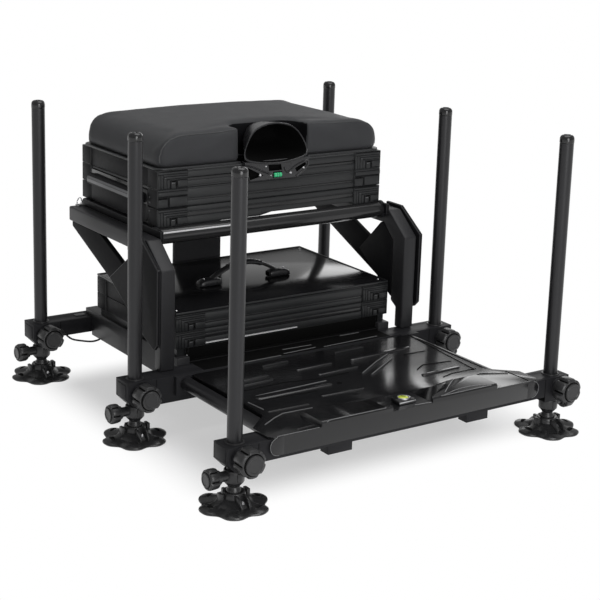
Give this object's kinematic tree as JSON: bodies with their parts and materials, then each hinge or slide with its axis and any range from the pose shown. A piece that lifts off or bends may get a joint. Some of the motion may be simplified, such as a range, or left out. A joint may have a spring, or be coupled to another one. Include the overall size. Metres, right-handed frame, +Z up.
{
  "type": "fishing seat box",
  "caption": "Black fishing seat box on clamped adjustable legs with mud feet, with stacked tray units, a padded seat, a pole cup and a sliding footplate.",
  "frame": {"origin": "on the ground, under the middle of the bounding box", "axes": "+Z up, -Y towards the footplate at the front, +X to the right as seen from the footplate side looking at the seat"},
  "size_m": [0.7902, 0.836, 0.545],
  "materials": {
    "satin_tube": "satin black anodised tube",
    "powder_coat": "black powder coat, faint texture",
    "extrusion": "black satin coated extrusion",
    "knob_plastic": "black moulded grip plastic",
    "foot_plastic": "black moulded foot plastic",
    "gloss_case": "black case with glossy faces",
    "lid_plastic": "glossy black sheet",
    "cup_plastic": "black semi-matte moulding",
    "seat_vinyl": "dark grey-black upholstery vinyl",
    "panel_fabric": "black woven cover",
    "grey_plastic": "mid grey moulded plastic",
    "green_vial": "green liquid level vial",
    "yellow_vial": "yellow-green bullseye level in a housing",
    "cord_black": "thin black cord"
  },
  "bodies": {
    "base_frame": {"base_front_beam": "powder_coat", "base_rear_beam": "powder_coat", "side_beam_left": "extrusion", "side_beam_right": "extrusion", "side_frame_left": "extrusion", "side_frame_right": "extrusion", "gusset_left": "powder_coat", "gusset_right": "powder_coat", "brace_left": "powder_coat", "brace_right": "powder_coat", "front_cross_tube": "satin_tube", "rear_cross_tube": "satin_tube", "rear_panel": "panel_fabric", "drawer_cabinet": "gloss_case", "lanyard": "cord_black"},
    "footplate": {"footplate_deck": "lid_plastic", "footplate_beam": "powder_coat", "footplate_rail_left": "satin_tube", "footplate_rail_right": "satin_tube", "footplate_level": "yellow_vial"},
    "top_tray": {"top_tray": "gloss_case", "pole_cup": "cup_plastic", "cup_level_vial": "green_vial"},
    "seat": {"seat_cushion": "seat_vinyl"},
    "side_drawer": {"side_drawer": "gloss_case", "side_drawer_handle": "grey_plastic"},
    "lower_unit": {"lower_bottom_tray": "gloss_case", "lower_top_tray": "gloss_case"},
    "lower_lid": {"lower_lid": "lid_plastic", "carry_handle": "cup_plastic"},
    "leg_rear_left": {"leg_tube_rear_left": "satin_tube", "foot_collar_rear_left": "foot_plastic"},
    "leg_clamp_knob_rear_left": {"leg_clamp_knob_rear_left": "knob_plastic"},
    "foot_knob_rear_left": {"foot_knob_rear_left": "knob_plastic"},
    "mud_foot_rear_left": {"mud_foot_rear_left": "foot_plastic"},
    "leg_rear_right": {"leg_tube_rear_right": "satin_tube", "foot_collar_rear_right": "foot_plastic"},
    "leg_clamp_knob_rear_right": {"leg_clamp_knob_rear_right": "knob_plastic"},
    "foot_knob_rear_right": {"foot_knob_rear_right": "knob_plastic"},
    "mud_foot_rear_right": {"mud_foot_rear_right": "foot_plastic"},
    "leg_middle_left": {"leg_tube_middle_left": "satin_tube", "foot_collar_middle_left": "foot_plastic"},
    "leg_clamp_knob_middle_left": {"leg_clamp_knob_middle_left": "knob_plastic"},
    "foot_knob_middle_left": {"foot_knob_middle_left": "knob_plastic"},
    "mud_foot_middle_left": {"mud_foot_middle_left": "foot_plastic"},
    "leg_middle_right": {"leg_tube_middle_right": "satin_tube", "foot_collar_middle_right": "foot_plastic"},
    "leg_clamp_knob_middle_right": {"leg_clamp_knob_middle_right": "knob_plastic"},
    "foot_knob_middle_right": {"foot_knob_middle_right": "knob_plastic"},
    "mud_foot_middle_right": {"mud_foot_middle_right": "foot_plastic"},
    "leg_front_left": {"leg_tube_front_left": "satin_tube", "foot_collar_front_left": "foot_plastic"},
    "leg_clamp_knob_front_left": {"leg_clamp_knob_front_left": "knob_plastic"},
    "foot_knob_front_left": {"foot_knob_front_left": "knob_plastic"},
    "mud_foot_front_left": {"mud_foot_front_left": "foot_plastic"},
    "leg_front_right": {"leg_tube_front_right": "satin_tube", "foot_collar_front_right": "foot_plastic"},
    "leg_clamp_knob_front_right": {"leg_clamp_knob_front_right": "knob_plastic"},
    "foot_knob_front_right": {"foot_knob_front_right": "knob_plastic"},
    "mud_foot_front_right": {"mud_foot_front_right": "foot_plastic"}
  },
  "joints": [
    {"name": "footplate_slide", "type": "slide", "parent": "base_frame", "child": "footplate", "axis": [0, -1, 0], "range_m": [0, 0.1]},
    {"name": "top_tray_lift", "type": "slide", "parent": "base_frame", "child": "top_tray", "axis": [0, 0, 1], "range_m": [0, 0.1]},
    {"name": "seat_hinge", "type": "hinge", "parent": "top_tray", "child": "seat", "pos_m": [0, 0.35931, 0.45525], "axis": [-1, 0, 0], "range_deg": [0, 95]},
    {"name": "side_drawer_slide", "type": "slide", "parent": "base_frame", "child": "side_drawer", "axis": [-1, 0, 0], "range_m": [0, 0.3]},
    {"name": "lower_unit_slide", "type": "slide", "parent": "base_frame", "child": "lower_unit", "axis": [0, -1, 0], "range_m": [0, 0.3]},
    {"name": "lower_lid_hinge", "type": "hinge", "parent": "lower_unit", "child": "lower_lid", "pos_m": [0, 0.31531, 0.20175], "axis": [-1, 0, 0], "range_deg": [0, 20]},
    {"name": "leg_slide_rear_left", "type": "slide", "parent": "base_frame", "child": "leg_rear_left", "axis": [0, 0, -1], "range_m": [0, 0.4]},
    {"name": "leg_clamp_turn_rear_left", "type": "hinge", "parent": "base_frame", "child": "leg_clamp_knob_rear_left", "pos_m": [-0.335, 0.33201, 0.0895], "axis": [0, -1, 0], "range_deg": [0, 360]},
    {"name": "foot_knob_turn_rear_left", "type": "hinge", "parent": "leg_rear_left", "child": "foot_knob_rear_left", "pos_m": [-0.3683, 0.36331, 0.054], "axis": [-1, 0, 0], "range_deg": [0, 360]},
    {"name": "foot_tilt_rear_left", "type": "hinge", "parent": "leg_rear_left", "child": "mud_foot_rear_left", "pos_m": [-0.335, 0.36331, 0.0245], "axis": [1, 0, 0], "range_deg": [-20, 20]},
    {"name": "leg_slide_rear_right", "type": "slide", "parent": "base_frame", "child": "leg_rear_right", "axis": [0, 0, -1], "range_m": [0, 0.4]},
    {"name": "leg_clamp_turn_rear_right", "type": "hinge", "parent": "base_frame", "child": "leg_clamp_knob_rear_right", "pos_m": [0.335, 0.33201, 0.0895], "axis": [0, -1, 0], "range_deg": [0, 360]},
    {"name": "foot_knob_turn_rear_right", "type": "hinge", "parent": "leg_rear_right", "child": "foot_knob_rear_right", "pos_m": [0.3683, 0.36331, 0.054], "axis": [1, 0, 0], "range_deg": [0, 360]},
    {"name": "foot_tilt_rear_right", "type": "hinge", "parent": "leg_rear_right", "child": "mud_foot_rear_right", "pos_m": [0.335, 0.36331, 0.0245], "axis": [1, 0, 0], "range_deg": [-20, 20]},
    {"name": "leg_slide_middle_left", "type": "slide", "parent": "base_frame", "child": "leg_middle_left", "axis": [0, 0, -1], "range_m": [0, 0.4]},
    {"name": "leg_clamp_turn_middle_left", "type": "hinge", "parent": "base_frame", "child": "leg_clamp_knob_middle_left", "pos_m": [-0.335, -0.05599, 0.0895], "axis": [0, -1, 0], "range_deg": [0, 360]},
    {"name": "foot_knob_turn_middle_left", "type": "hinge", "parent": "leg_middle_left", "child": "foot_knob_middle_left", "pos_m": [-0.3683, -0.02469, 0.054], "axis": [-1, 0, 0], "range_deg": [0, 360]},
    {"name": "foot_tilt_middle_left", "type": "hinge", "parent": "leg_middle_left", "child": "mud_foot_middle_left", "pos_m": [-0.335, -0.02469, 0.0245], "axis": [1, 0, 0], "range_deg": [-20, 20]},
    {"name": "leg_slide_middle_right", "type": "slide", "parent": "base_frame", "child": "leg_middle_right", "axis": [0, 0, -1], "range_m": [0, 0.4]},
    {"name": "leg_clamp_turn_middle_right", "type": "hinge", "parent": "base_frame", "child": "leg_clamp_knob_middle_right", "pos_m": [0.335, -0.05599, 0.0895], "axis": [0, -1, 0], "range_deg": [0, 360]},
    {"name": "foot_knob_turn_middle_right", "type": "hinge", "parent": "leg_middle_right", "child": "foot_knob_middle_right", "pos_m": [0.3683, -0.02469, 0.054], "axis": [1, 0, 0], "range_deg": [0, 360]},
    {"name": "foot_tilt_middle_right", "type": "hinge", "parent": "leg_middle_right", "child": "mud_foot_middle_right", "pos_m": [0.335, -0.02469, 0.0245], "axis": [1, 0, 0], "range_deg": [-20, 20]},
    {"name": "leg_slide_front_left", "type": "slide", "parent": "footplate", "child": "leg_front_left", "axis": [0, 0, -1], "range_m": [0, 0.4]},
    {"name": "leg_clamp_turn_front_left", "type": "hinge", "parent": "footplate", "child": "leg_clamp_knob_front_left", "pos_m": [-0.335, -0.38699, 0.0895], "axis": [0, -1, 0], "range_deg": [0, 360]},
    {"name": "foot_knob_turn_front_left", "type": "hinge", "parent": "leg_front_left", "child": "foot_knob_front_left", "pos_m": [-0.3683, -0.35569, 0.054], "axis": [-1, 0, 0], "range_deg": [0, 360]},
    {"name": "foot_tilt_front_left", "type": "hinge", "parent": "leg_front_left", "child": "mud_foot_front_left", "pos_m": [-0.335, -0.35569, 0.0245], "axis": [1, 0, 0], "range_deg": [-20, 20]},
    {"name": "leg_slide_front_right", "type": "slide", "parent": "footplate", "child": "leg_front_right", "axis": [0, 0, -1], "range_m": [0, 0.4]},
    {"name": "leg_clamp_turn_front_right", "type": "hinge", "parent": "footplate", "child": "leg_clamp_knob_front_right", "pos_m": [0.335, -0.38699, 0.0895], "axis": [0, -1, 0], "range_deg": [0, 360]},
    {"name": "foot_knob_turn_front_right", "type": "hinge", "parent": "leg_front_right", "child": "foot_knob_front_right", "pos_m": [0.3683, -0.35569, 0.054], "axis": [1, 0, 0], "range_deg": [0, 360]},
    {"name": "foot_tilt_front_right", "type": "hinge", "parent": "leg_front_right", "child": "mud_foot_front_right", "pos_m": [0.335, -0.35569, 0.0245], "axis": [1, 0, 0], "range_deg": [-20, 20]}
  ]
}
